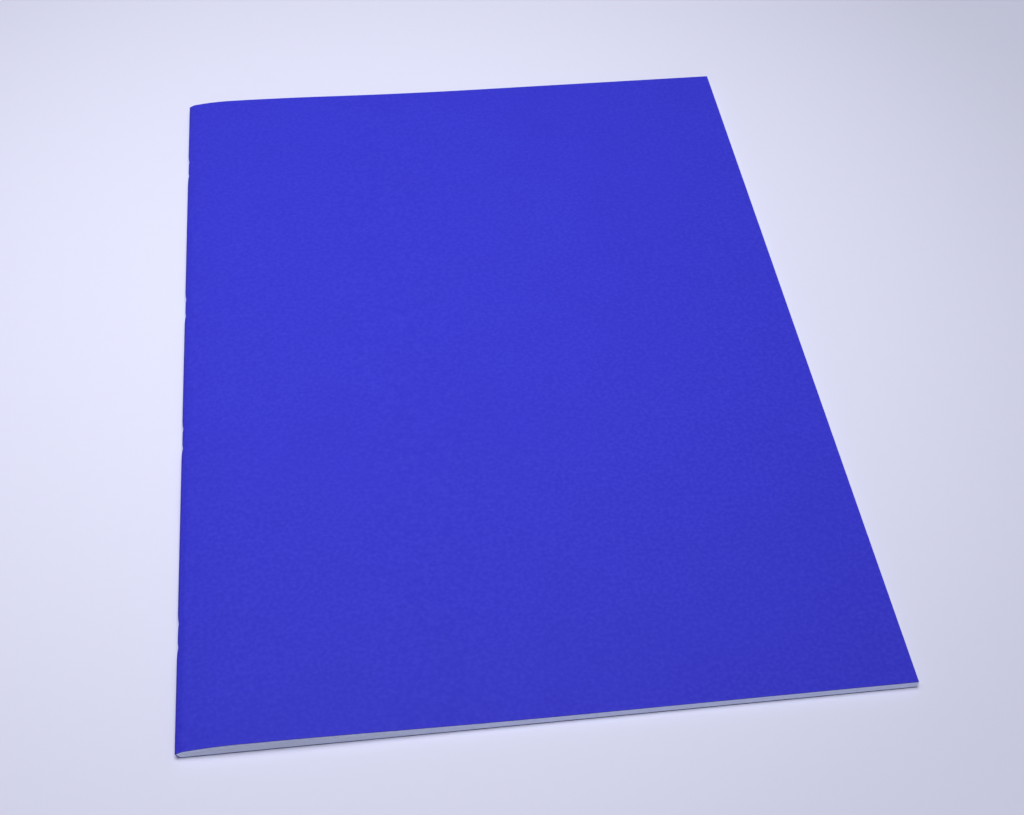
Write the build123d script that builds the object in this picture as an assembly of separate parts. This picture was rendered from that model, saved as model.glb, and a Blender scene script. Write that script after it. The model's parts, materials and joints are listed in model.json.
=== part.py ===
"""Stapled exercise book: a folded card cover, nested folded sheets and wire staples through the fold.

The closed book lies on its back cover, spine towards -X and head towards +Y, with the origin at its bottom centre.
Card and paper bend along one fold line, so each is made as a front half and a back half that meet on that line.
"""

import math
import os

from build123d import *

# Closed book
PAGE_WIDTH = 210.0  # spine to fore edge
PAGE_HEIGHT = 297.0  # tail to head
SWELL_RISE = 1.4  # how far the front cover swells above the flat thickness, beside the spine
SWELL_FROM_SPINE = 17.0  # crest of the swell
FLAT_FROM_SPINE = 115.0  # from here to the fore edge the leaves lie flat
BROW_SHARE = 0.4  # part of the way down from the crest that still bends downwards
MIDDLE_GAP = 0.2  # air at the crest between the two leaves of the innermost sheet

# Card, paper and fold
SHEET_COUNT = 12  # folded sheets, two leaves each
CARD_THICKNESS = 0.25
PAPER_THICKNESS = 0.09
LAYER_GAP = 0.005  # least air between neighbouring layers
NOSE_SLOPE = 28.0  # degrees at which the front cover rises from the fold
NOSE_BEND = 3.0  # radius of the front cover's face where that rise eases
NOSE_RUN = 0.15  # straight run of the innermost front leaf from its crease to that bend
FOLD_INSIDE = 0.08  # inside radius of the innermost back bend
INNER_CREASE = 0.105  # innermost crease above the innermost back leaf

# Staples
STAPLE_MARGIN = 39.6  # head or tail to the middle of the nearest staple
STAPLE_SPACING = 62.2  # between the two middle staples
CROWN_LENGTH = 8.4  # between the middles of the two legs
CLINCH_LENGTH = 3.2
WIRE_DIAMETER = 0.5
WIRE_BEND = 0.35  # bend radius of the wire's middle line
WIRE_CLEARANCE = 0.05

# Derived sizes
LAYER_PITCH = PAPER_THICKNESS + LAYER_GAP
HALF_STACK = CARD_THICKNESS + SHEET_COUNT * LAYER_PITCH
CLOSED_THICKNESS = 2 * HALF_STACK + LAYER_GAP
FOLD_HEIGHT = (CLOSED_THICKNESS + SWELL_RISE) / 2  # a cover turned right over lies with its swell on the table
HALF_SPREAD = (SWELL_RISE - MIDDLE_GAP) / 2  # swell shared out between the layers of each half
SPINE_X = -PAGE_WIDTH / 2
FORE_X = PAGE_WIDTH / 2
CREST_X = SPINE_X + SWELL_FROM_SPINE

# Creases: they lie on one line that falls from the fold line into the book and halves the angle of every fold
CREASE_DROP = FOLD_HEIGHT - HALF_STACK - INNER_CREASE
FRONT_SLOPE = math.radians(NOSE_SLOPE)
CREASE_SLOPE = math.atan(math.sin(FRONT_SLOPE) / (HALF_STACK / CREASE_DROP - math.cos(FRONT_SLOPE)))
BACK_SLOPE = FRONT_SLOPE + 2 * CREASE_SLOPE
HALF_FOLD = FRONT_SLOPE + CREASE_SLOPE
CREASE_PLANE = Plane(
    (SPINE_X, 0, FOLD_HEIGHT),
    x_dir=(math.cos(CREASE_SLOPE), 0, -math.sin(CREASE_SLOPE)),
    z_dir=(math.sin(CREASE_SLOPE), 0, math.cos(CREASE_SLOPE)),
)
CROWN_DEPTH = WIRE_DIAMETER / 2 / math.sin(HALF_FOLD)  # wire of the crown is level with the cover on both sides
CLINCH_DEPTH = HALF_STACK / math.sin(HALF_FOLD) + WIRE_CLEARANCE + WIRE_DIAMETER / 2


def crease(depth):
    """Point of the section where the face at a depth below the cover's face is creased."""
    reach = depth / math.sin(HALF_FOLD)
    return (SPINE_X + reach * math.cos(CREASE_SLOPE), FOLD_HEIGHT - reach * math.sin(CREASE_SLOPE))


def run_out(climb, rise, flat_end):
    """Section line from the crest of the swell, where the climbing arc ends, down to the flat and the fore edge."""
    reach = FLAT_FROM_SPINE - SWELL_FROM_SPINE
    radii = (reach**2 + rise**2) / (2 * rise)
    turn = math.degrees(math.asin(reach / radii))
    brow = JernArc(climb @ 1, climb % 1, radii * BROW_SHARE, -turn)
    hollow = JernArc(brow @ 1, brow % 1, radii * (1 - BROW_SHARE), turn)
    return [brow, hollow, Line(hollow @ 1, flat_end)]


def front_line(depth, rise):
    """Section line of a front half, fold to fore edge: depth is below the front cover's face, rise is its swell."""
    radius = NOSE_BEND - depth
    nose = PolarLine(crease(depth), NOSE_RUN + (HALF_STACK - depth) / math.tan(HALF_FOLD), NOSE_SLOPE)
    reach = CREST_X - (nose @ 1).X - radius * math.sin(FRONT_SLOPE)
    height = CLOSED_THICKNESS - depth + rise - (nose @ 1).Y - radius * (1 - math.cos(FRONT_SLOPE))
    spread = (reach**2 + height**2) / (2 * height)
    slope = math.asin(reach / spread)
    bend = JernArc(nose @ 1, nose % 1, radius, math.degrees(slope - FRONT_SLOPE))
    climb = JernArc(bend @ 1, bend % 1, spread + radius, math.degrees(-slope))
    return [nose, bend, climb, *run_out(climb, rise, (FORE_X, CLOSED_THICKNESS - depth))]


def back_line(depth, rise):
    """Section line of a back half, fold to fore edge: depth is above the back cover's face, rise is its swell."""
    radius = HALF_STACK + FOLD_INSIDE - depth
    start = crease(depth)
    drop = start[1] - depth - radius * (1 - math.cos(BACK_SLOPE))
    nose = PolarLine(start, drop / math.sin(BACK_SLOPE), math.degrees(-BACK_SLOPE))
    if rise == 0:
        bend = JernArc(nose @ 1, nose % 1, radius, math.degrees(BACK_SLOPE))
        return [nose, bend, Line(bend @ 1, (FORE_X, depth))]
    reach = CREST_X - (nose @ 1).X - radius * math.sin(BACK_SLOPE)
    spread = (reach**2 + rise**2) / (2 * rise)
    slope = math.asin(reach / spread)
    bend = JernArc(nose @ 1, nose % 1, radius, math.degrees(BACK_SLOPE + slope))
    climb = JernArc(bend @ 1, bend % 1, spread - radius, math.degrees(-slope))
    return [nose, bend, climb, *run_out(climb, rise, (FORE_X, depth))]


def half_sheet(section_line, depth, thickness, rise):
    """One half of a folded sheet, between two section lines, over the full height of the page."""
    outer = section_line(depth, rise)
    inner = section_line(depth + thickness, rise)
    fold_edge = Line(outer[0] @ 0, inner[0] @ 0)
    fore_edge = Line(outer[-1] @ 1, inner[-1] @ 1)
    section = make_face([*outer, *inner, fold_edge, fore_edge])
    return extrude(Plane.XZ * section, PAGE_HEIGHT / 2, both=True)


def wire_staple():
    """Bent wire staple: crown along the spine, two legs through the creases, tips clinched towards each other."""
    leg_y = CROWN_LENGTH / 2
    tip_y = leg_y - CLINCH_LENGTH
    corners = [(CLINCH_DEPTH, -tip_y), (CLINCH_DEPTH, -leg_y), (CROWN_DEPTH, -leg_y)]
    mirrored = [(x, -y) for x, y in reversed(corners)]
    path = CREASE_PLANE * FilletPolyline(*corners, *mirrored, radius=WIRE_BEND)
    wire = Plane(path @ 0, z_dir=path % 0) * Circle(WIRE_DIAMETER / 2)
    return sweep(wire, path=path)


def staple_room():
    """Room for one staple in the folds: a recess round its crown, a slot for each leg and a pocket for each tip."""
    room = WIRE_DIAMETER + 2 * WIRE_CLEARANCE
    side = (Align.MIN, Align.CENTER, Align.CENTER)
    recess = Box(CROWN_DEPTH + room / 2, CROWN_LENGTH + room, room, align=side)
    slot = Box(CLINCH_DEPTH, room, room, align=side)
    legs = [Pos(0, y, 0) * slot for y in (-CROWN_LENGTH / 2, CROWN_LENGTH / 2)]
    pocket = Box(room, CLINCH_LENGTH + room, room)
    middle = (CROWN_LENGTH - CLINCH_LENGTH) / 2
    tips = [Pos(CLINCH_DEPTH, y, 0) * pocket for y in (-middle, middle)]
    return CREASE_PLANE * (recess + legs + tips)


outer_staple = PAGE_HEIGHT / 2 - STAPLE_MARGIN
inner_staple = STAPLE_SPACING / 2
staple_places = [-outer_staple, -inner_staple, inner_staple, outer_staple]
rooms = [Pos(0, y, 0) * staple_room() for y in staple_places]

nodes = {
    "front_cover": half_sheet(front_line, 0, CARD_THICKNESS, SWELL_RISE) - rooms,
    "back_cover": half_sheet(back_line, 0, CARD_THICKNESS, 0) - rooms,
}
for i in range(1, SHEET_COUNT + 1):
    depth = HALF_STACK - (SHEET_COUNT - i) * LAYER_PITCH - PAPER_THICKNESS
    share = HALF_SPREAD * i / SHEET_COUNT
    front_leaf = half_sheet(front_line, depth, PAPER_THICKNESS, SWELL_RISE - share) - rooms
    back_leaf = half_sheet(back_line, depth, PAPER_THICKNESS, share) - rooms
    nodes[f"sheet_{i:02}_front_leaf"] = front_leaf
    nodes[f"sheet_{i:02}_back_leaf"] = back_leaf
for i, y in enumerate(staple_places):
    nodes[f"staple_{i + 1}"] = Pos(0, y, 0) * wire_staple()

os.makedirs("parts", exist_ok=True)
for name, shape in nodes.items():
    export_step(shape, f"parts/{name}.step")
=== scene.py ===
"""Dresses the packed frame of a stapled exercise book: card cover, ruled leaves, wire staples and a studio stage.

Lengths are in metres in the CAD frame: spine towards -X, head towards +Y, the back cover lying on the table.
"""

import json
import math
import random

import bpy
from bpy.props import FloatProperty, FloatVectorProperty, IntProperty, PointerProperty
from bpy.types import NodeSocket, Operator, Panel, PropertyGroup
from mathutils import Euler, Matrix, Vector


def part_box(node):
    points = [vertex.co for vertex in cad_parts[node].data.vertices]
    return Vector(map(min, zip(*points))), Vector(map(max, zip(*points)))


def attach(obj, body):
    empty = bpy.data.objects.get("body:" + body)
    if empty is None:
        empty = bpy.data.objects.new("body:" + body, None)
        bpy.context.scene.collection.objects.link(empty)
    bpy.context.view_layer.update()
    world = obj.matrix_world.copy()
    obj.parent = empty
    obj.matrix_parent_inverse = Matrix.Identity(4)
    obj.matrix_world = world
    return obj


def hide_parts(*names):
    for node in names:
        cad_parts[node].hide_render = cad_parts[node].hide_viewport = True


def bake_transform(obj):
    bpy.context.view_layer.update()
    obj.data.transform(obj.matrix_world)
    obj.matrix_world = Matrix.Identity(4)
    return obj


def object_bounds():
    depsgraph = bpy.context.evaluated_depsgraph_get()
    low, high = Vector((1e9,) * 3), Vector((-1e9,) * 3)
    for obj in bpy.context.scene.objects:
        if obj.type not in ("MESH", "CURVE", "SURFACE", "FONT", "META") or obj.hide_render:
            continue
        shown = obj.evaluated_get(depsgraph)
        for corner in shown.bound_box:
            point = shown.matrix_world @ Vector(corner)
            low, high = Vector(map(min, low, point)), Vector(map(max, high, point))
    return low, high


bl_info = {
    "name": "Stapled Exercise Book",
    "version": (1, 0, 0),
    "blender": (4, 5, 0),
    "location": "3D View > Sidebar > Exercise Book",
    "description": "Card cover, ruled leaves and wire staples on the packed frame of an exercise book",
    "category": "Object",
}

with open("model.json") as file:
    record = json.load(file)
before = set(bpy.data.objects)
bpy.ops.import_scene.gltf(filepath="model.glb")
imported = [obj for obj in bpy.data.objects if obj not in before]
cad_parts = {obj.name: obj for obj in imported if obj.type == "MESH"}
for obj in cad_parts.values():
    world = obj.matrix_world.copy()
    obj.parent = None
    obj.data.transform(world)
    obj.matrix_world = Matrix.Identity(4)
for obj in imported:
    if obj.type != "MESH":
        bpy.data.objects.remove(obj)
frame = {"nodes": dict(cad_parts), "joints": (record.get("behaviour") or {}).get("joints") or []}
CAD_LOW, CAD_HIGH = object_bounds()
FOLD_X, _, FOLD_Z = frame["joints"][0]["pos_m"]
FOLD_LINE = (FOLD_X, 0.0, FOLD_Z)
SHEET_COUNT = sum(node.endswith("_front_leaf") for node in frame["nodes"])
STAPLE_NODES = sorted(node for node in frame["nodes"] if node.startswith("staple_"))
STAPLE_PLACES = sorted(sum(corner.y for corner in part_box(node)) / 2 for node in STAPLE_NODES)
INNERMOST_BACK = f"sheet_{SHEET_COUNT:02}_back_leaf"

PRESS_FULL_TO, PRESS_GONE_AT = 0.0012, 0.0045  # distances from the fold line between which the dents die out
CROWN_SET_BACK = 0.56  # middle of the crown behind the pressed fold, in wire diameters
CROWN_DROP = 0.32  # middle of the crown below the fold line, in wire diameters
BED_FLOOR, BED_RIM = 0.4, 0.9  # from the middle of the crown's bed, in wire diameters
SHEET_CRISP, WIRE_CRISP = math.radians(40), math.radians(50)  # sharper edges than these stay crisp
CUT_FACING = 0.6  # least part of a normal along X or Y on a cut edge
CREASE_FACING = 0.9  # least agreement of a normal with the crease
LIT_TO, BACKDROP_FROM = 0.26, 0.42  # distances on the floor from the middle of the lamp's light


# Sizes and colours for the sidebar


def length(name, description, default):
    """A length that can be set in the sidebar."""
    return FloatProperty(name=name, description=description, default=default, min=0.0, precision=5, unit="LENGTH")


def share(name, description, default):
    """A part of one that can be set in the sidebar."""
    return FloatProperty(name=name, description=description, default=default, min=0.0, max=1.0, subtype="FACTOR")


def colour(name, description, default):
    """A colour that can be set in the sidebar."""
    return FloatVectorProperty(name=name, description=description, default=default, min=0.0, max=1.0, subtype="COLOR")


class BookSizes(PropertyGroup):
    """Sizes of the folded card and paper."""

    page_width: length("Page width", "Spine to fore edge", CAD_HIGH.x - CAD_LOW.x)
    page_height: length("Page height", "Tail to head", CAD_HIGH.y - CAD_LOW.y)
    swell_rise: length("Swell rise", "How far the front cover swells above the flat thickness", 0.0014)
    swell_from_spine: length("Swell from spine", "Spine to the crest of the swell", 0.017)
    flat_from_spine: length("Flat from spine", "Spine to where the leaves lie flat", 0.115)
    brow_share: share("Brow share", "Part of the way down from the crest that still bends downwards", 0.4)
    middle_gap: length("Middle gap", "Air at the crest between the two innermost leaves", 0.0002)
    card_thickness: length("Card thickness", "Thickness of the cover card", 0.00025)
    paper_thickness: length("Paper thickness", "Thickness of one leaf", 0.00009)
    layer_gap: length("Layer gap", "Least air between neighbouring layers", 0.000005)
    nose_slope: FloatProperty(
        name="Nose slope",
        description="Slope at which the front cover rises from the fold",
        default=math.radians(28.0),
        subtype="ANGLE",
    )
    nose_bend: length("Nose bend", "Radius of the front cover's face where that rise eases", 0.003)
    nose_run: length("Nose run", "Straight run of the innermost front leaf from its crease", 0.00015)
    fold_inside: length("Fold inside", "Inside radius of the innermost back bend", 0.00008)
    inner_crease: length("Inner crease", "Innermost crease above the innermost back leaf", 0.000105)
    trim_scatter: length("Trim scatter", "How far a leaf may fall short of the trimmed edge", 0.00006)
    seed: IntProperty(name="Seed", description="Seed of the leaves' trim and tone", default=7)


class StapleSizes(PropertyGroup):
    """Sizes of the wire staples and of the dents they leave in the fold."""

    crown_length: length("Crown length", "Between the middles of the two legs", 0.0084)
    clinch_length: length("Clinch length", "Leg to tip inside the fold", 0.0032)
    clinch_depth: length("Clinch depth", "Fold line to the middle of the clinched wire", 0.0024)
    wire_diameter: length("Wire diameter", "Thickness of the wire", 0.0005)
    wire_bend: length("Wire bend", "Bend radius of the wire's middle line", 0.00035)
    pinch_depth: length("Pinch depth", "How far the crown presses the fold in", 0.00014)
    pinch_reach: length("Pinch reach", "How far beyond the legs the fold is still pressed in", 0.0045)
    leg_dent: length("Leg dent", "How much deeper the fold is pressed at each leg", 0.00017)
    dent_reach: length("Dent reach", "How far from a leg its own dent reaches", 0.0018)
    wire_colour: colour("Wire colour", "Zinc-coated steel", (0.56, 0.57, 0.59))


class CoverLook(PropertyGroup):
    """Finish of the cover card."""

    card_colour: colour("Card colour", "Dyed-through blue card", (0.032, 0.0325, 0.59))
    cut_colour: colour("Cut colour", "Cut edge of the front cover", (0.050, 0.034, 0.34))
    # Painted shadow: the back cover's cut edge is near black to stand in for the contact shadow where it meets the
    # table
    painted_contact_shade_colour: colour("Painted contact shade colour", "Cut edge of the back cover, darkened as painted contact shadow", (0.04, 0.03, 0.08))
    core_colour: colour("Core colour", "Core of the card inside its crease", (0.74, 0.76, 0.80))
    # Also used for the lighter fibre flecks, which are partly real fibres and partly painted glints of light caught by
    # them
    rub_and_glint_colour: colour("Rub and glint colour", "Card where it is rubbed along its edges", (0.10, 0.11, 0.70))
    rub_reach: length("Rub reach", "How far rubbing reaches in from an edge", 0.0007)
    # Painted shade: the darker strip along the fold stands in for the rounded fold turning away from the light
    painted_fold_shade_colour: colour("Painted fold shade colour", "Painted shade along the fold", (0.036, 0.016, 0.27))
    painted_fold_shade_reach: length("Fold reach", "How far the painted shade reaches in from the fold", 0.0006)


class PageLook(PropertyGroup):
    """Finish of the leaves."""

    paper_colour: colour("Paper colour", "White writing paper", (0.83, 0.85, 0.88))
    # Painted shade and blue reflection: the leaves' cut edges are coloured darker and bluer than the white paper
    cut_colour: colour("Cut colour", "Cut edges of the leaves", (0.63, 0.69, 0.96))
    rule_colour: colour("Rule colour", "Feint ruling", (0.42, 0.55, 0.76))
    margin_colour: colour("Margin colour", "Margin line", (0.80, 0.38, 0.44))
    rule_spacing: length("Rule spacing", "Between the ruled lines", 0.008)
    rule_width: length("Rule width", "Width of a ruled line", 0.00022)
    head_space: length("Head space", "Head to the first ruled line", 0.026)
    tail_space: length("Tail space", "Clear space above the tail", 0.012)
    margin_space: length("Margin space", "Left edge of a page to its margin line", 0.022)


class StageLook(PropertyGroup):
    """Floor, light and camera."""

    floor_colour: colour("Floor colour", "Pale floor", (0.77, 0.78, 0.965))
    lamp_power: FloatProperty(name="Lamp power", description="Power of the soft lamp", default=28.6, unit="POWER")
    fill_power: FloatProperty(name="Fill power", description="Power of the front lamp", default=1.8, unit="POWER")
    sky_strength: FloatProperty(name="Sky strength", description="Strength of the even light", default=0.07, min=0.0)
    backdrop_colour: colour("Backdrop colour", "Pale surroundings, seen and mirrored", (0.58, 0.595, 0.76))
    camera_place: FloatVectorProperty(
        name="Camera place",
        description="Where the camera stands",
        default=(-0.0487766, -0.3926668, 0.3897423),
        subtype="TRANSLATION",
    )
    camera_turn: FloatVectorProperty(
        name="Camera turn",
        description="How the camera is turned",
        default=(0.7589347, -0.0172773, -0.1220371),
        subtype="EULER",
    )
    camera_lens: FloatProperty(name="Camera lens", description="Focal length", default=56.886, unit="CAMERA")


# Node trees


def add(tree, kind, inputs=None, **settings):
    """Adds a node: inputs maps an input's name or number to a value, or to the socket that feeds it."""
    made = tree.nodes.new(kind)
    for name, value in settings.items():
        setattr(made, name, value)
    for key, value in (inputs or {}).items():
        if isinstance(value, NodeSocket):
            tree.links.new(value, made.inputs[key])
        else:
            made.inputs[key].default_value = value
    return made


def calc(tree, operation, *values):
    """Socket with the result of a Math node."""
    return add(tree, "ShaderNodeMath", dict(enumerate(values)), operation=operation).outputs[0]


def fade(tree, value, start, end, at_start=1.0, at_end=0.0):
    """Socket that goes smoothly from one value to another while the given value goes from start to end."""
    inputs = {"Value": value, "From Min": start, "From Max": end, "To Min": at_start, "To Max": at_end}
    return add(tree, "ShaderNodeMapRange", inputs, interpolation_type="SMOOTHSTEP").outputs[0]


def both(tree, operation, first, second):
    """Socket with the result of a Boolean Math node."""
    return add(tree, "FunctionNodeBooleanMath", {0: first, 1: second}, operation=operation).outputs[0]


def over(tree, value, limit):
    """Socket that is true where the value is over the limit."""
    return add(tree, "FunctionNodeCompare", {0: value, 1: limit}, operation="GREATER_THAN").outputs[0]


def new_group(name, kind, inputs, outputs):
    """Node group with named sockets, each given as name, type and, for an input, default."""
    tree = bpy.data.node_groups.new(name, kind)
    for title, socket_type, default in inputs:
        socket = tree.interface.new_socket(title, in_out="INPUT", socket_type=f"NodeSocket{socket_type}")
        if default is not None:
            socket.default_value = default
    for title, socket_type in outputs:
        tree.interface.new_socket(title, in_out="OUTPUT", socket_type=f"NodeSocket{socket_type}")
    return tree, tree.nodes.new("NodeGroupInput").outputs, tree.nodes.new("NodeGroupOutput").inputs


def staple_marks(tree, outer, inner):
    """Geometry with one point at the middle of each staple, on the line from tail to head through the origin."""
    pairs = add(tree, "GeometryNodeJoinGeometry")
    for place in (outer, inner):
        start = add(tree, "ShaderNodeCombineXYZ", {"Y": calc(tree, "MULTIPLY", place, -1.0)}).outputs[0]
        step = add(tree, "ShaderNodeCombineXYZ", {"Y": calc(tree, "MULTIPLY", place, 2.0)}).outputs[0]
        pair = add(tree, "GeometryNodeMeshLine", {"Count": 2, "Start Location": start, "Offset": step})
        tree.links.new(pair.outputs[0], pairs.inputs[0])
    return pairs.outputs[0]


def folded_sheet_tree():
    """Carries a closed section from tail to head, presses its fold in at the staples and finishes its faces."""
    if "folded sheet" in bpy.data.node_groups:
        return bpy.data.node_groups["folded sheet"]
    tree, given, result = new_group(
        "folded sheet",
        "GeometryNodeTree",
        [
            ("Section", "Geometry", None),
            ("Page Height", "Float", 0.297),
            ("Fine Step", "Float", 0.001),
            ("Coarse Steps", "Int", 12),
            ("Outer Staple", "Float", 0.1),
            ("Inner Staple", "Float", 0.03),
            ("Crown Length", "Float", 0.008),
            ("Pinch Depth", "Float", 0.0),
            ("Pinch Reach", "Float", 0.004),
            ("Leg Dent", "Float", 0.0),
            ("Dent Reach", "Float", 0.0018),
            ("Crown Bed", "Float", 0.0),
            ("Bed Width", "Float", 0.0005),
            ("Fold Line", "Vector", None),
            ("Outward", "Vector", None),
            ("Crease Facing", "Vector", None),
            ("Crease Reach", "Float", 0.0),
            ("Leaf Tone", "Float", 0.0),
            ("Outer Face", "Material", None),
            ("Inner Face", "Material", None),
            ("Cut Edge", "Material", None),
            ("Crease Face", "Material", None),
        ],
        [("Sheet", "Geometry")],
    )
    spot = add(tree, "GeometryNodeInputPosition").outputs[0]
    axes = add(tree, "ShaderNodeSeparateXYZ", {0: spot}).outputs
    along = add(tree, "ShaderNodeCombineXYZ", {"Y": axes["Y"]}).outputs[0]
    marks = staple_marks(tree, given["Outer Staple"], given["Inner Staple"])
    nearest = add(
        tree, "GeometryNodeProximity", {"Geometry": marks, "Sample Position": along}, target_element="POINTS"
    ).outputs["Distance"]
    half_crown = calc(tree, "MULTIPLY", given["Crown Length"], 0.5)
    pinch_end = calc(tree, "ADD", half_crown, given["Pinch Reach"])

    # A path from tail to head, with close steps at the staples only
    half_height = calc(tree, "MULTIPLY", given["Page Height"], 0.5)
    head = add(tree, "ShaderNodeCombineXYZ", {"Y": half_height}).outputs[0]
    tail = add(tree, "ShaderNodeVectorMath", {0: head, "Scale": -1.0}, operation="SCALE").outputs[0]
    line = add(tree, "GeometryNodeCurvePrimitiveLine", {"Start": tail, "End": head}).outputs[0]
    steps = {"Curve": line, "Length": given["Fine Step"]}
    fine = add(tree, "GeometryNodeResampleCurve", steps, mode="LENGTH").outputs[0]
    index = add(tree, "GeometryNodeInputIndex").outputs[0]
    between = over(tree, calc(tree, "MODULO", index, given["Coarse Steps"]), 0.5)
    far = over(tree, nearest, pinch_end)
    ends = add(tree, "GeometryNodeCurveEndpointSelection").outputs[0]
    spare = both(tree, "NIMPLY", both(tree, "AND", far, between), ends)
    path = add(tree, "GeometryNodeDeleteGeometry", {"Geometry": fine, "Selection": spare}, domain="POINT").outputs[0]
    quarter_turn = Euler((math.radians(90), 0, 0))
    drawn = add(tree, "GeometryNodeTransform", {"Geometry": given["Section"], "Rotation": quarter_turn}).outputs[0]
    section = add(tree, "GeometryNodeMeshToCurve", {"Mesh": drawn}).outputs[0]
    sweep = {"Curve": path, "Profile Curve": section, "Fill Caps": True}
    sheet = add(tree, "GeometryNodeCurveToMesh", sweep).outputs[0]

    # Dents of the crown and of the two legs, which die out away from the fold line
    apart = add(tree, "ShaderNodeVectorMath", {0: spot, 1: given["Fold Line"]}, operation="SUBTRACT").outputs[0]
    flat = add(tree, "ShaderNodeVectorMath", {0: apart, 1: (1, 0, 1)}, operation="MULTIPLY").outputs[0]
    from_fold = add(tree, "ShaderNodeVectorMath", {0: flat}, operation="LENGTH").outputs["Value"]
    pinch = fade(tree, nearest, half_crown, pinch_end, given["Pinch Depth"], 0.0)
    from_leg = calc(tree, "ABSOLUTE", calc(tree, "SUBTRACT", nearest, half_crown))
    dent = fade(tree, from_leg, 0.0, given["Dent Reach"], given["Leg Dent"], 0.0)
    near_fold = fade(tree, from_fold, PRESS_FULL_TO, PRESS_GONE_AT)
    press = calc(tree, "MULTIPLY", calc(tree, "ADD", pinch, dent), near_fold)

    # Bed for the crown's wire
    above = add(tree, "ShaderNodeSeparateXYZ", {0: apart}).outputs["Z"]
    from_crown = calc(tree, "ABSOLUTE", calc(tree, "MULTIPLY_ADD", given["Bed Width"], CROWN_DROP, above))
    bed_floor = calc(tree, "MULTIPLY", given["Bed Width"], BED_FLOOR)
    bed_rim = calc(tree, "MULTIPLY", given["Bed Width"], BED_RIM)
    bed_end = calc(tree, "ADD", half_crown, given["Bed Width"])
    across = fade(tree, from_crown, bed_floor, bed_rim, given["Crown Bed"], 0.0)
    bed = calc(tree, "MULTIPLY", across, fade(tree, nearest, half_crown, bed_end))
    shift = add(tree, "ShaderNodeCombineXYZ", {"X": calc(tree, "ADD", press, bed)}).outputs[0]
    sheet = add(tree, "GeometryNodeSetPosition", {"Geometry": sheet, "Offset": shift}).outputs[0]

    # Crisp cut edges, smooth faces, and a tone of its own for each leaf
    angle = add(tree, "GeometryNodeInputMeshEdgeAngle").outputs[0]
    crisp = {"Geometry": sheet, "Selection": over(tree, angle, SHEET_CRISP), "Shade Smooth": False}
    sheet = add(tree, "GeometryNodeSetShadeSmooth", crisp, domain="EDGE").outputs[0]
    tone = {"Geometry": sheet, "Name": "leaf_tone", "Value": given["Leaf Tone"]}
    sheet = add(tree, "GeometryNodeStoreNamedAttribute", tone, data_type="FLOAT", domain="POINT").outputs[0]

    # Finish of the outer and inner faces, the cut edges and the crease
    normal = add(tree, "GeometryNodeInputNormal").outputs[0]
    facing = add(tree, "ShaderNodeSeparateXYZ", {0: normal}).outputs
    to_outside = add(tree, "ShaderNodeVectorMath", {0: normal, 1: given["Outward"]}, operation="DOT_PRODUCT")
    outside = over(tree, to_outside.outputs["Value"], 0.0)
    at_end = over(tree, calc(tree, "ABSOLUTE", facing["Y"]), CUT_FACING)
    at_fore_edge = both(tree, "AND", over(tree, facing["X"], CUT_FACING), over(tree, axes["X"], 0.0))
    cut = both(tree, "OR", at_end, at_fore_edge)
    to_crease = add(tree, "ShaderNodeVectorMath", {0: normal, 1: given["Crease Facing"]}, operation="DOT_PRODUCT")
    in_fold = over(tree, given["Crease Reach"], from_fold)
    creased = both(tree, "AND", over(tree, to_crease.outputs["Value"], CREASE_FACING), in_fold)
    sheet = add(tree, "GeometryNodeRealizeInstances", {"Geometry": sheet}).outputs[0]
    finishes = ((True, "Inner Face"), (outside, "Outer Face"), (cut, "Cut Edge"), (creased, "Crease Face"))
    for faces, finish in finishes:
        finished = {"Geometry": sheet, "Selection": faces, "Material": given[finish]}
        sheet = add(tree, "GeometryNodeSetMaterial", finished).outputs[0]
    tree.links.new(sheet, result[0])
    return tree


def bent_wire_tree():
    """Rounds a wire's bends, gives it its thickness and puts one at each staple's place."""
    tree, given, result = new_group(
        "bent wire",
        "GeometryNodeTree",
        [
            ("Route", "Geometry", None),
            ("Wire Diameter", "Float", 0.0005),
            ("Wire Bend", "Float", 0.00035),
            ("Outer Staple", "Float", 0.1),
            ("Inner Staple", "Float", 0.03),
            ("Finish", "Material", None),
        ],
        [("Staples", "Geometry")],
    )
    route = add(tree, "GeometryNodeMeshToCurve", {"Mesh": given["Route"]}).outputs[0]
    bends = {"Curve": route, "Count": 8, "Radius": given["Wire Bend"]}
    rounded = add(tree, "GeometryNodeFilletCurve", bends, mode="POLY").outputs[0]
    radius = calc(tree, "MULTIPLY", given["Wire Diameter"], 0.5)
    ring = add(tree, "GeometryNodeCurvePrimitiveCircle", {"Resolution": 16, "Radius": radius}).outputs[0]
    sweep = {"Curve": rounded, "Profile Curve": ring, "Fill Caps": True}
    wire = add(tree, "GeometryNodeCurveToMesh", sweep).outputs[0]
    angle = add(tree, "GeometryNodeInputMeshEdgeAngle").outputs[0]
    crisp = {"Geometry": wire, "Selection": over(tree, angle, WIRE_CRISP), "Shade Smooth": False}
    wire = add(tree, "GeometryNodeSetShadeSmooth", crisp, domain="EDGE").outputs[0]
    marks = staple_marks(tree, given["Outer Staple"], given["Inner Staple"])
    staples = add(tree, "GeometryNodeInstanceOnPoints", {"Points": marks, "Instance": wire}).outputs[0]
    staples = add(tree, "GeometryNodeRealizeInstances", {"Geometry": staples}).outputs[0]
    finished = {"Geometry": staples, "Material": given["Finish"]}
    tree.links.new(add(tree, "GeometryNodeSetMaterial", finished).outputs[0], result[0])
    return tree


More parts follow.
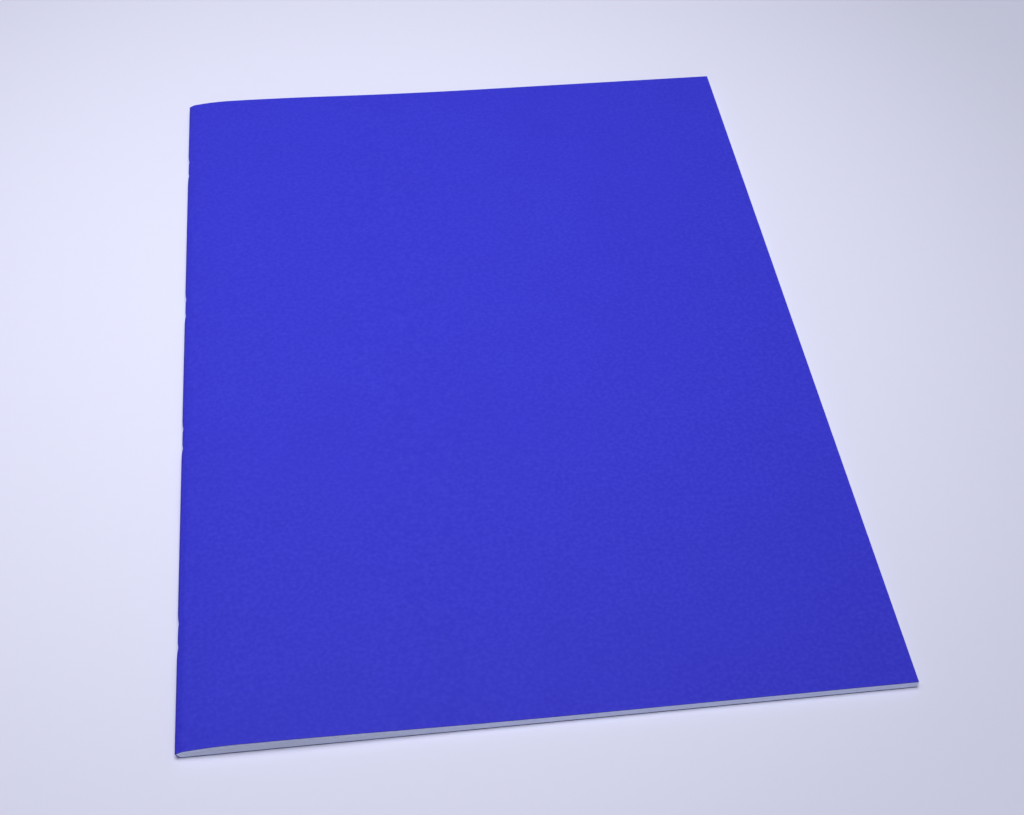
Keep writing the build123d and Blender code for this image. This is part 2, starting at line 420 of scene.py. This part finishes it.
def run_tree(name, points, closed, tree, values):
    """Plain mesh object that a geometry node tree makes from a chain of points."""
    count = len(points)
    chain = [(i, (i + 1) % count) for i in range(count if closed else count - 1)]
    drawn = bpy.data.meshes.new(f"{name} route")
    drawn.from_pydata(points, chain, [])
    piece = bpy.data.objects.new(name, drawn)
    bpy.context.scene.collection.objects.link(piece)
    modifier = piece.modifiers.new(tree.name, "NODES")
    modifier.node_group = tree
    for socket in tree.interface.items_tree:
        if socket.in_out == "INPUT" and socket.name in values:
            modifier[socket.identifier] = values[socket.name]
    graph = bpy.context.evaluated_depsgraph_get()
    made = bpy.data.meshes.new_from_object(piece.evaluated_get(graph), depsgraph=graph)
    if not made.polygons:
        raise RuntimeError(f"{tree.name} made no faces for {name}")
    piece.modifiers.remove(modifier)
    for slot in reversed(range(len(made.materials))):
        if made.materials[slot] is None:
            made.materials.pop(index=slot)
    piece.data = made
    made.name = name
    bpy.data.meshes.remove(drawn)
    return piece


# Section lines of the folded halves, as lists of X and Z


def add_run(line, heading, run, steps):
    """Goes straight on from the line's last point."""
    x, z = line[-1]
    for i in range(1, steps + 1):
        line.append((x + run * i / steps * math.cos(heading), z + run * i / steps * math.sin(heading)))


def add_arc(line, heading, radius, turn, steps):
    """Goes on along an arc from the line's last point and gives the heading at its end."""
    side = math.copysign(radius, turn)
    x, z = line[-1]
    middle_x, middle_z = x - side * math.sin(heading), z + side * math.cos(heading)
    for i in range(1, steps + 1):
        angle = heading + turn * i / steps
        line.append((middle_x + side * math.sin(angle), middle_z - side * math.cos(angle)))
    return heading + turn


def half_stack(sizes):
    """Thickness of the cover card and the leaves of one half."""
    return sizes.card_thickness + SHEET_COUNT * (sizes.paper_thickness + sizes.layer_gap)


def flat_thickness(sizes):
    """Thickness of the closed book where it lies flat."""
    return 2 * half_stack(sizes) + sizes.layer_gap


def fold_slopes(sizes):
    """Slopes at the fold: rise of the front, fall of the line on which all the creases lie, drop of the back."""
    rise, stack = sizes.nose_slope, half_stack(sizes)
    fall = math.atan(math.sin(rise) / (stack / (FOLD_Z - stack - sizes.inner_crease) - math.cos(rise)))
    return rise, fall, rise + 2 * fall


def crease(sizes, depth):
    """Point where the face at a depth below the cover's face is creased."""
    rise, fall, _ = fold_slopes(sizes)
    reach = depth / math.sin(rise + fall)
    return (FOLD_X + reach * math.cos(fall), FOLD_Z - reach * math.sin(fall))


def run_out(line, heading, sizes, rise, fore_x):
    """Goes on from the crest of the swell down to the flat and the fore edge."""
    reach = sizes.flat_from_spine - sizes.swell_from_spine
    radii = (reach**2 + rise**2) / (2 * rise)
    turn = math.asin(reach / radii)
    heading = add_arc(line, heading, radii * sizes.brow_share, -turn, steps=8)
    add_arc(line, heading, radii * (1 - sizes.brow_share), turn, steps=12)
    line.append((fore_x, line[-1][1]))


def front_line(sizes, depth, rise, fore_x):
    """Section line of a front half: depth is below the front cover's face, rise is its swell."""
    up, fall, _ = fold_slopes(sizes)
    radius = sizes.nose_bend - depth
    line = [crease(sizes, depth)]
    add_run(line, up, sizes.nose_run + (half_stack(sizes) - depth) / math.tan(up + fall), steps=8)
    reach = FOLD_X + sizes.swell_from_spine - line[-1][0] - radius * math.sin(up)
    height = flat_thickness(sizes) - depth + rise - line[-1][1] - radius * (1 - math.cos(up))
    spread = (reach**2 + height**2) / (2 * height)
    slope = math.asin(reach / spread)
    heading = add_arc(line, up, radius, slope - up, steps=8)
    heading = add_arc(line, heading, spread + radius, -slope, steps=10)
    run_out(line, heading, sizes, rise, fore_x)
    return line


def back_line(sizes, depth, rise, fore_x):
    """Section line of a back half: depth is above the back cover's face, rise is its swell."""
    _, _, down = fold_slopes(sizes)
    radius = half_stack(sizes) + sizes.fold_inside - depth
    line = [crease(sizes, depth)]
    drop = line[0][1] - depth - radius * (1 - math.cos(down))
    add_run(line, -down, drop / math.sin(down), steps=8)
    if rise == 0:
        add_arc(line, -down, radius, down, steps=12)
        line.extend([(FOLD_X + sizes.swell_from_spine, depth), (fore_x, depth)])
        return line
    reach = FOLD_X + sizes.swell_from_spine - line[-1][0] - radius * math.sin(down)
    spread = (reach**2 + rise**2) / (2 * rise)
    slope = math.asin(reach / spread)
    heading = add_arc(line, -down, radius, down + slope, steps=12)
    heading = add_arc(line, heading, spread - radius, -slope, steps=10)
    run_out(line, heading, sizes, rise, fore_x)
    return line


def half_section(section_line, sizes, depth, thickness, rise, fore_x):
    """Closed section of a folded half, as points that go round it one way."""
    outer = section_line(sizes, depth, rise, fore_x)
    inner = section_line(sizes, depth + thickness, rise, fore_x)
    loop = outer + inner[::-1] if section_line is front_line else inner + outer[::-1]
    return [(x, 0.0, z) for x, z in loop]


def staple_values(staples):
    """Inputs that the folded sheets and the wire share."""
    return {
        "Outer Staple": STAPLE_PLACES[-1],
        "Inner Staple": STAPLE_PLACES[-2],
        "Crown Length": staples.crown_length,
        "Pinch Depth": staples.pinch_depth,
        "Pinch Reach": staples.pinch_reach,
        "Leg Dent": staples.leg_dent,
        "Dent Reach": staples.dent_reach,
        "Bed Width": staples.wire_diameter,
        "Wire Diameter": staples.wire_diameter,
        "Wire Bend": staples.wire_bend,
    }


# Shared shader effects


def formation_group():
    """Cloudy look-through, flecks, lengthwise fibres and tooth of card and paper, each from 0 to 1."""
    if "formation" in bpy.data.node_groups:
        return bpy.data.node_groups["formation"]
    tree, given, result = new_group(
        "formation",
        "ShaderNodeTree",
        [("Cloud Size", "Float", 0.03), ("Fleck Size", "Float", 0.0025), ("Tooth Size", "Float", 0.0003)],
        [("Cloud", "Float"), ("Fleck", "Float"), ("Fibre", "Float"), ("Tooth", "Float")],
    )
    place = add(tree, "ShaderNodeTexCoord").outputs["Object"]
    lengthwise = add(tree, "ShaderNodeMapping", {"Vector": place, "Scale": (1.0, 0.14, 1.0)}).outputs[0]
    for out, size, spread, detail in (
        ("Cloud", given["Cloud Size"], place, 3.0),
        ("Fleck", given["Fleck Size"], place, 3.0),
        ("Fibre", given["Tooth Size"], lengthwise, 2.0),
        ("Tooth", given["Tooth Size"], place, 2.0),
    ):
        noise = {"Vector": spread, "Scale": calc(tree, "DIVIDE", 1.0, size), "Detail": detail}
        tree.links.new(add(tree, "ShaderNodeTexNoise", noise).outputs[0], result[out])
    return tree


def rub_and_fold_shade_group():
    """Masks of the rubbed strip along the head, the tail and the fore edge, and of the painted shade along the fold."""
    if "edge rub and painted fold shade" in bpy.data.node_groups:
        return bpy.data.node_groups["edge rub and painted fold shade"]
    tree, given, result = new_group(
        "edge rub and painted fold shade",
        "ShaderNodeTree",
        [
            ("Half Width", "Float", 0.105),
            ("Half Height", "Float", 0.1485),
            ("Reach", "Float", 0.001),
            ("Fold Reach", "Float", 0.001),
        ],
        [("Rub", "Float"), ("Fold", "Float")],
    )
    place = add(tree, "ShaderNodeTexCoord").outputs["Object"]
    axes = add(tree, "ShaderNodeSeparateXYZ", {0: place}).outputs
    to_fore = calc(tree, "SUBTRACT", given["Half Width"], axes["X"])
    to_end = calc(tree, "SUBTRACT", given["Half Height"], calc(tree, "ABSOLUTE", axes["Y"]))
    from_edge = calc(tree, "MINIMUM", to_fore, to_end)
    strip = fade(tree, from_edge, 0.0, given["Reach"])
    patchy = add(tree, "ShaderNodeTexNoise", {"Vector": place, "Scale": 260.0, "Detail": 4.0}).outputs[0]
    tree.links.new(calc(tree, "MULTIPLY", strip, fade(tree, patchy, 0.35, 0.7, 0.0, 1.0)), result["Rub"])
    # Painted shade along the fold, patchy like the rubbing
    from_fold = calc(tree, "ADD", given["Half Width"], axes["X"])
    painted_fold_shade_strip = fade(tree, from_fold, 0.0, given["Fold Reach"])
    tree.links.new(calc(tree, "MULTIPLY", painted_fold_shade_strip, fade(tree, patchy, 0.2, 0.6, 0.7, 1.0)), result["Fold"])
    return tree


def feint_ruling_group():
    """Masks of the ruled lines and of the margin line of a page."""
    if "feint ruling" in bpy.data.node_groups:
        return bpy.data.node_groups["feint ruling"]
    tree, given, result = new_group(
        "feint ruling",
        "ShaderNodeTree",
        [
            ("Half Height", "Float", 0.1485),
            ("Spacing", "Float", 0.008),
            ("Line Width", "Float", 0.0002),
            ("Head Space", "Float", 0.026),
            ("Tail Space", "Float", 0.012),
            ("Margin Place", "Float", 0.0),
            ("End Space", "Float", 0.003),
        ],
        [("Rules", "Float"), ("Margin", "Float")],
    )
    place = add(tree, "ShaderNodeTexCoord").outputs["Object"]
    axes = add(tree, "ShaderNodeSeparateXYZ", {0: place}).outputs
    half_line = calc(tree, "MULTIPLY", given["Line Width"], 0.5)
    soft_line = calc(tree, "MULTIPLY", given["Line Width"], 0.7)
    from_head = calc(tree, "SUBTRACT", given["Half Height"], axes["Y"])
    from_first = calc(tree, "SUBTRACT", from_head, given["Head Space"])
    from_line = calc(tree, "PINGPONG", from_first, calc(tree, "MULTIPLY", given["Spacing"], 0.5))
    rules = fade(tree, from_line, half_line, soft_line)
    started = calc(tree, "GREATER_THAN", from_first, calc(tree, "MULTIPLY", given["Line Width"], -1.0))
    above_tail = calc(tree, "ADD", axes["Y"], given["Half Height"])
    clear = calc(tree, "GREATER_THAN", above_tail, given["Tail Space"])
    tree.links.new(calc(tree, "MULTIPLY", rules, calc(tree, "MULTIPLY", started, clear)), result["Rules"])
    from_margin = calc(tree, "ABSOLUTE", calc(tree, "SUBTRACT", axes["X"], given["Margin Place"]))
    from_end = calc(tree, "MINIMUM", from_head, above_tail)
    inside = calc(tree, "GREATER_THAN", from_end, given["End Space"])
    tree.links.new(calc(tree, "MULTIPLY", fade(tree, from_margin, half_line, soft_line), inside), result["Margin"])
    return tree


# Materials


def new_material(name, **sockets):
    """Material with a Principled shader whose plain sockets are set, and its node tree and shader."""
    material = bpy.data.materials.new(name)
    material.use_nodes = True
    shader = material.node_tree.nodes["Principled BSDF"]
    for socket, value in sockets.items():
        shader.inputs[socket.replace("_", " ")].default_value = value
    return material, material.node_tree, shader.inputs


def use_group(tree, group, **values):
    """Outputs of a shared effect that is placed in a material with its own values."""
    made = add(tree, "ShaderNodeGroup", node_tree=group)
    for name, value in values.items():
        made.inputs[name.replace("_", " ")].default_value = value
    return made.outputs


def mix(tree, factor, first, second):
    """Socket with a colour that goes from the first to the second by a factor."""
    made = add(tree, "ShaderNodeMix", {"Factor": factor}, data_type="RGBA")
    # Colours are the node's seventh and eighth inputs and its third output
    for socket, value in zip((made.inputs[6], made.inputs[7]), (first, second)):
        if isinstance(value, NodeSocket):
            tree.links.new(value, socket)
        else:
            socket.default_value = (*value, 1.0)
    return made.outputs[2]


def varied(tree, tint, *swings):
    """Socket with a colour made lighter and darker by masks, each given with how far it swings."""
    level = 1.0
    for mask, swing in swings:
        level = calc(tree, "ADD", calc(tree, "MULTIPLY", calc(tree, "SUBTRACT", mask, 0.5), swing), level)
    shade = {0: tint if isinstance(tint, NodeSocket) else tuple(tint), "Scale": level}
    return add(tree, "ShaderNodeVectorMath", shade, operation="SCALE").outputs[0]


def roughen(tree, sockets, height, strength, distance):
    """Fine relief from a height mask."""
    bump = {"Height": height, "Strength": strength, "Distance": distance}
    tree.links.new(add(tree, "ShaderNodeBump", bump).outputs[0], sockets["Normal"])


def card_finish(name, look, sizes, sheltered):
    """Matte dyed card with painted shade along its fold; the sheltered side inside the cover is less rubbed and a
    little deeper in colour.
    """
    material, tree, sockets = new_material(name, Specular_IOR_Level=0.15)
    grain = use_group(tree, formation_group(), Cloud_Size=0.02, Fleck_Size=0.0013, Tooth_Size=0.00028)
    rub_and_fold_shade = use_group(
        tree,
        rub_and_fold_shade_group(),
        Half_Width=sizes.page_width / 2,
        Half_Height=sizes.page_height / 2,
        Reach=look.rub_reach,
        Fold_Reach=look.painted_fold_shade_reach,
    )
    tint = varied(tree, look.card_colour, (grain["Cloud"], 0.09), (grain["Fleck"], 0.10), (grain["Fibre"], 0.10))
    # Lighter fibre flecks, partly real fibres and partly painted glints of light caught by them
    tint = mix(tree, fade(tree, grain["Fleck"], 0.3, 0.8, 0.0, 0.16), tint, look.rub_and_glint_colour)
    # Painted shade along the fold, where the rounded fold turns away from the light
    tint = mix(tree, rub_and_fold_shade["Fold"], tint, look.painted_fold_shade_colour)
    rubbed = calc(tree, "MULTIPLY", rub_and_fold_shade["Rub"], 0.1 if sheltered else 0.2)
    tree.links.new(mix(tree, rubbed, tint, look.rub_and_glint_colour), sockets["Base Color"])
    tree.links.new(calc(tree, "MULTIPLY_ADD", grain["Fleck"], 0.12, 0.56), sockets["Roughness"])
    height = calc(tree, "ADD", calc(tree, "MULTIPLY", grain["Fibre"], 0.5), grain["Tooth"])
    roughen(tree, sockets, height, 0.35, 0.00006)
    return material


def card_cut_finish(name, cut_colour):
    """Cut edge of the card, where its fibres stand up."""
    material, tree, sockets = new_material(name, Specular_IOR_Level=0.2, Roughness=0.85)
    grain = use_group(tree, formation_group(), Cloud_Size=0.02, Fleck_Size=0.0008, Tooth_Size=0.00015)
    tint = varied(tree, cut_colour, (grain["Cloud"], 0.2), (grain["Fleck"], 0.3), (grain["Tooth"], 0.4))
    tree.links.new(tint, sockets["Base Color"])
    roughen(tree, sockets, grain["Tooth"], 0.5, 0.00008)
    return material


def card_core_finish(look):
    """Pale broken core of the card inside its crease, which shows only in an opened fold."""
    if "card core" in bpy.data.materials:
        return bpy.data.materials["card core"]
    material, tree, sockets = new_material("card core", Specular_IOR_Level=0.15, Roughness=0.9)
    grain = use_group(tree, formation_group(), Cloud_Size=0.01, Fleck_Size=0.0008, Tooth_Size=0.00015)
    tint = varied(tree, look.core_colour, (grain["Cloud"], 0.05), (grain["Fleck"], 0.08), (grain["Tooth"], 0.10))
    tree.links.new(tint, sockets["Base Color"])
    roughen(tree, sockets, grain["Tooth"], 0.5, 0.00006)
    return material


def page_finish(name, look, sizes, margin_place):
    """White writing paper with feint ruling, for the side of a leaf whose margin line is at the given place."""
    material, tree, sockets = new_material(name, Specular_IOR_Level=0.25)
    grain = use_group(tree, formation_group(), Cloud_Size=0.012, Fleck_Size=0.002, Tooth_Size=0.00025)
    lines = use_group(
        tree,
        feint_ruling_group(),
        Half_Height=sizes.page_height / 2,
        Spacing=look.rule_spacing,
        Line_Width=look.rule_width,
        Head_Space=look.head_space,
        Tail_Space=look.tail_space,
        Margin_Place=margin_place,
    )
    tint = varied(tree, look.paper_colour, (grain["Cloud"], 0.03), (grain["Fleck"], 0.04), (grain["Fibre"], 0.03))
    ink = calc(tree, "MULTIPLY_ADD", grain["Tooth"], 0.3, 0.5)
    tint = mix(tree, calc(tree, "MULTIPLY", lines["Rules"], ink), tint, look.rule_colour)
    tint = mix(tree, calc(tree, "MULTIPLY", lines["Margin"], ink), tint, look.margin_colour)
    tree.links.new(tint, sockets["Base Color"])
    tree.links.new(calc(tree, "MULTIPLY_ADD", grain["Fleck"], 0.1, 0.68), sockets["Roughness"])
    roughen(tree, sockets, grain["Tooth"], 0.25, 0.00004)
    return material


def page_cut_finish(look):
    """Cut edges of the leaves, each leaf in its own tone, coloured darker and bluer than the paper as painted shade and
    blue reflection.
    """
    material, tree, sockets = new_material("page cut edge", Specular_IOR_Level=0.15, Roughness=0.9)
    grain = use_group(tree, formation_group(), Cloud_Size=0.025, Fleck_Size=0.001, Tooth_Size=0.0001)
    tone = add(tree, "ShaderNodeAttribute", attribute_name="leaf_tone").outputs["Fac"]
    swings = ((tone, 0.16), (grain["Cloud"], 0.08), (grain["Fleck"], 0.12), (grain["Tooth"], 0.10))
    tree.links.new(varied(tree, look.cut_colour, *swings), sockets["Base Color"])
    roughen(tree, sockets, grain["Tooth"], 0.3, 0.00003)
    return material


def wire_finish(staples):
    """Drawn steel wire with a zinc coat, a little dulled in patches."""
    material, tree, sockets = new_material("staple wire", Metallic=1.0)
    grain = use_group(tree, formation_group(), Cloud_Size=0.0015, Fleck_Size=0.0004, Tooth_Size=0.00004)
    tint = varied(tree, staples.wire_colour, (grain["Cloud"], 0.25), (grain["Fleck"], 0.15))
    tree.links.new(tint, sockets["Base Color"])
    tree.links.new(calc(tree, "MULTIPLY_ADD", grain["Cloud"], 0.25, 0.2), sockets["Roughness"])
    roughen(tree, sockets, grain["Fibre"], 0.15, 0.000006)
    return material


def seen_or_mirrored(tree):
    """Socket that is 1 for what the camera sees, straight or in a mirror or glass, and 0 for what lights the object."""
    path = add(tree, "ShaderNodeLightPath").outputs
    mirrored = calc(tree, "MAXIMUM", path["Is Glossy Ray"], path["Is Transmission Ray"])
    return calc(tree, "MAXIMUM", path["Is Camera Ray"], mirrored)


def floor_finish(look, lit_middle):
    """Plain pale floor with a faint tooth, which goes over into the backdrop beyond the soft lamp's reach."""
    material, tree, sockets = new_material("pale floor", Specular_IOR_Level=0.2, Roughness=0.8)
    grain = use_group(tree, formation_group(), Cloud_Size=0.2, Fleck_Size=0.004, Tooth_Size=0.001)
    tint = varied(tree, look.floor_colour, (grain["Cloud"], 0.02), (grain["Fleck"], 0.015))
    tree.links.new(tint, sockets["Base Color"])
    place = add(tree, "ShaderNodeTexCoord").outputs["Object"]
    from_middle = add(tree, "ShaderNodeVectorMath", {0: place, 1: lit_middle}, operation="DISTANCE").outputs["Value"]
    far = calc(tree, "MULTIPLY", fade(tree, from_middle, LIT_TO, BACKDROP_FROM, 0.0, 1.0), seen_or_mirrored(tree))
    backdrop = add(tree, "ShaderNodeEmission", {"Color": (*look.backdrop_colour, 1.0)}).outputs[0]
    near = tree.nodes["Principled BSDF"].outputs[0]
    shown = add(tree, "ShaderNodeMixShader", {0: far, 1: near, 2: backdrop}).outputs[0]
    tree.links.new(shown, tree.nodes["Material Output"].inputs["Surface"])
    return material


# Operators


class BOOK_OT_cover(Operator):
    """Make the folded card cover as a front half and a back half"""

    bl_idname = "book.cover"
    bl_label = "Make cover"

    def execute(self, context):
        scene = context.scene
        sizes, look, staples = scene.book_sizes, scene.cover_look, scene.staple_sizes
        shared = staple_values(staples) | {
            "Page Height": sizes.page_height,
            "Fine Step": 0.00025,
            "Coarse Steps": 48,
            "Fold Line": FOLD_LINE,
            "Outer Face": card_finish("card outside", look, sizes, sheltered=False),
            "Inner Face": card_finish("card inside", look, sizes, sheltered=True),
            "Crease Reach": 2.5 * sizes.card_thickness,
            "Crease Face": card_core_finish(look),
        }
        fall = fold_slopes(sizes)[1]
        front = {
            "Outward": (-1, 0, 1),
            "Crease Facing": (-math.sin(fall), 0, -math.cos(fall)),
            "Cut Edge": card_cut_finish("card cut edge", look.cut_colour),
        }
        back = {
            "Outward": (-1, 0, -1),
            "Crease Facing": (math.sin(fall), 0, math.cos(fall)),
            # Near-black cut edge of the back cover: painted contact shadow
            "Cut Edge": card_cut_finish("card cut edge painted contact shade", look.painted_contact_shade_colour),
            "Crown Bed": staples.wire_diameter / 2,
        }
        tree = folded_sheet_tree()
        halves = (("front", front_line, sizes.swell_rise, front), ("back", back_line, 0.0, back))
        for half, section_line, rise, own in halves:
            section = half_section(section_line, sizes, 0.0, sizes.card_thickness, rise, CAD_HIGH.x)
            piece = run_tree(f"{half}_cover_card", section, True, tree, shared | own)
            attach(piece, f"{half}_cover")
            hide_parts(f"{half}_cover")
        return {"FINISHED"}


class BOOK_OT_fold_core(Operator):
    """Make the bent core of the card, one narrow strip for each hinge, which closes the fold when it is opened"""

    bl_idname = "book.fold_core"
    bl_label = "Make fold core"

    def execute(self, context):
        scene = context.scene
        sizes, core = scene.book_sizes, card_core_finish(scene.cover_look)
        end_space, set_in = 0.0002, 0.00007  # from the head, the tail and the fold line
        thickness, strip_height, steps = 0.000001, 0.00006, 6
        values = staple_values(scene.staple_sizes) | {
            "Page Height": sizes.page_height - 2 * end_space,
            "Fine Step": 0.0007,
            "Coarse Steps": 18,
            "Fold Line": FOLD_LINE,
            "Outer Face": core,
            "Inner Face": core,
            "Cut Edge": core,
            "Crease Face": core,
        }
        heights = [FOLD_Z - strip_height * (1 - i / steps) for i in range(steps + 1)]
        for turn, joint in enumerate(frame["joints"], 1):
            outer_x = FOLD_X + set_in + 2 * thickness * turn
            outer = [(outer_x, 0.0, z) for z in heights]
            inner = [(outer_x + thickness, 0.0, z) for z in reversed(heights)]
            piece = run_tree(f"card_core_{turn:02}", outer + inner, True, folded_sheet_tree(), values)
            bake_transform(piece)
        return {"FINISHED"}


class BOOK_OT_leaves(Operator):
    """Make the ruled leaves, two for each folded sheet"""

    bl_idname = "book.leaves"
    bl_label = "Make leaves"

    def execute(self, context):
        scene = context.scene
        sizes, look = scene.book_sizes, scene.page_look
        spine_margin, fore_margin = CAD_LOW.x + look.margin_space, CAD_HIGH.x - look.margin_space
        recto = page_finish("page recto", look, sizes, spine_margin)
        verso = page_finish("page verso", look, sizes, fore_margin)
        shared = staple_values(scene.staple_sizes) | {
            "Fine Step": 0.0015,
            "Coarse Steps": 10,
            "Fold Line": FOLD_LINE,
            "Cut Edge": page_cut_finish(look),
        }
        halves = (
            ("front", front_line, {"Outward": (-1, 0, 1), "Outer Face": recto, "Inner Face": verso}),
            ("back", back_line, {"Outward": (-1, 0, -1), "Outer Face": verso, "Inner Face": recto}),
        )
        tree = folded_sheet_tree()
        chance = random.Random(sizes.seed)
        pitch = sizes.paper_thickness + sizes.layer_gap
        half_spread = (sizes.swell_rise - sizes.middle_gap) / 2
        for sheet in range(1, SHEET_COUNT + 1):
            depth = half_stack(sizes) - (SHEET_COUNT - sheet) * pitch - sizes.paper_thickness
            spread = half_spread * sheet / SHEET_COUNT
            for half, section_line, own in halves:
                rise = sizes.swell_rise - spread if half == "front" else spread
                fore_x = CAD_HIGH.x - chance.uniform(0.0, sizes.trim_scatter)
                section = half_section(section_line, sizes, depth, sizes.paper_thickness, rise, fore_x)
                trimmed = {
                    "Page Height": sizes.page_height - 2 * chance.uniform(0.0, sizes.trim_scatter),
                    "Leaf Tone": chance.uniform(0.0, 1.0),
                }
                piece = run_tree(f"{half}_page_{sheet:02}", section, True, tree, shared | own | trimmed)
                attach(piece, f"sheet_{sheet:02}_{half}_leaf")
                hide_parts(f"sheet_{sheet:02}_{half}_leaf")
        return {"FINISHED"}


class BOOK_OT_staples(Operator):
    """Make the wire staples in the fold"""

    bl_idname = "book.staples"
    bl_label = "Make staples"

    def execute(self, context):
        sizes, staples = context.scene.book_sizes, context.scene.staple_sizes
        fall = fold_slopes(sizes)[1]
        leg_y, clinch = staples.crown_length / 2, staples.clinch_depth
        inside = (FOLD_X + clinch * math.cos(fall), FOLD_Z - clinch * math.sin(fall))
        wire = staples.wire_diameter
        crown = (FOLD_X + staples.pinch_depth + CROWN_SET_BACK * wire, FOLD_Z - CROWN_DROP * wire)
        crown_end = (crown[0] + staples.leg_dent, crown[1])
        leg = [
            (inside, leg_y - staples.clinch_length),
            (inside, leg_y),
            (crown_end, leg_y),
            (crown, leg_y - staples.dent_reach),
        ]
        corners = [(place, -y) for place, y in leg] + [(place, y) for place, y in reversed(leg)]
        route = [(x, y, z) for (x, z), y in corners]
        values = staple_values(staples) | {"Finish": wire_finish(staples)}
        piece = run_tree("staple_wires", route, False, bent_wire_tree(), values)
        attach(piece, INNERMOST_BACK)
        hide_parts(*STAPLE_NODES)
        return {"FINISHED"}


class BOOK_OT_stage(Operator):
    """Make the floor, the soft light and the camera"""

    bl_idname = "book.stage"
    bl_label = "Make stage"

    def execute(self, context):
        scene = context.scene
        look = scene.stage_look
        floor = bpy.data.meshes.new("floor")
        side, level = 4.0, CAD_LOW.z - 0.00002  # a hair below the back cover
        lit_middle = (-0.058, 0.090, 0.0)  # where the soft lamp is aimed
        corners = [(-side, -side, level), (side, -side, level), (side, side, level), (-side, side, level)]
        floor.from_pydata(corners, [], [(0, 1, 2, 3)])
        floor.materials.append(floor_finish(look, lit_middle))
        ground = bpy.data.objects.new("floor", floor)
        scene.collection.objects.link(ground)

        above = bpy.data.lights.new("soft lamp", "SPOT")
        above.energy, above.shadow_soft_size = look.lamp_power, 0.3
        above.spot_size, above.spot_blend = math.radians(84), 1.0
        front = bpy.data.lights.new("front lamp", "AREA")
        front.energy, front.size = look.fill_power, 0.8
        for lamp, place, aim in (
            (above, (-0.047, 0.008, 0.80), lit_middle),
            (front, (0.10, -0.90, 0.50), (0.0, 0.0, 0.0)),
        ):
            soft = bpy.data.objects.new(lamp.name, lamp)
            soft.location = place
            soft.rotation_euler = (Vector(aim) - Vector(place)).to_track_quat("-Z", "Y").to_euler()
            scene.collection.objects.link(soft)

        world = bpy.data.worlds.new("even light")
        world.use_nodes = True
        tree = world.node_tree
        sky = [look.sky_strength * part for part in (0.95, 0.96, 1.0)]
        surround = mix(tree, seen_or_mirrored(tree), sky, look.backdrop_colour)
        tree.links.new(surround, tree.nodes["Background"].inputs["Color"])
        scene.world = world

        lens = bpy.data.cameras.new("camera")
        lens.sensor_fit, lens.sensor_width, lens.lens = "HORIZONTAL", 36.0, look.camera_lens
        camera = bpy.data.objects.new("camera", lens)
        camera.location, camera.rotation_euler = look.camera_place, look.camera_turn
        scene.collection.objects.link(camera)
        scene.camera = camera
        scene.view_settings.view_transform = "Standard"
        return {"FINISHED"}


class BOOK_PT_sidebar(Panel):
    """Sizes, colours and pieces of the exercise book"""

    bl_idname = "BOOK_PT_sidebar"
    bl_label = "Exercise Book"
    bl_space_type = "VIEW_3D"
    bl_region_type = "UI"
    bl_category = "Exercise Book"

    def draw(self, context):
        for operator in OPERATORS:
            self.layout.operator(operator.bl_idname)
        for name, group in GROUPS.items():
            box = self.layout.box()
            box.label(text=group.__doc__)
            for setting in group.__annotations__:
                box.prop(getattr(context.scene, name), setting)


GROUPS = {
    "book_sizes": BookSizes,
    "staple_sizes": StapleSizes,
    "cover_look": CoverLook,
    "page_look": PageLook,
    "stage_look": StageLook,
}
OPERATORS = (BOOK_OT_cover, BOOK_OT_fold_core, BOOK_OT_leaves, BOOK_OT_staples, BOOK_OT_stage)


def register():
    for kind in (*GROUPS.values(), *OPERATORS, BOOK_PT_sidebar):
        bpy.utils.register_class(kind)
    for name, group in GROUPS.items():
        setattr(bpy.types.Scene, name, PointerProperty(type=group))


def unregister():
    for name in GROUPS:
        delattr(bpy.types.Scene, name)
    for kind in (BOOK_PT_sidebar, *OPERATORS, *GROUPS.values()):
        bpy.utils.unregister_class(kind)


def main():
    register()
    bpy.ops.book.cover()
    bpy.ops.book.fold_core()
    bpy.ops.book.leaves()
    bpy.ops.book.staples()
    bpy.ops.book.stage()


if __name__ == "__main__":
    main()
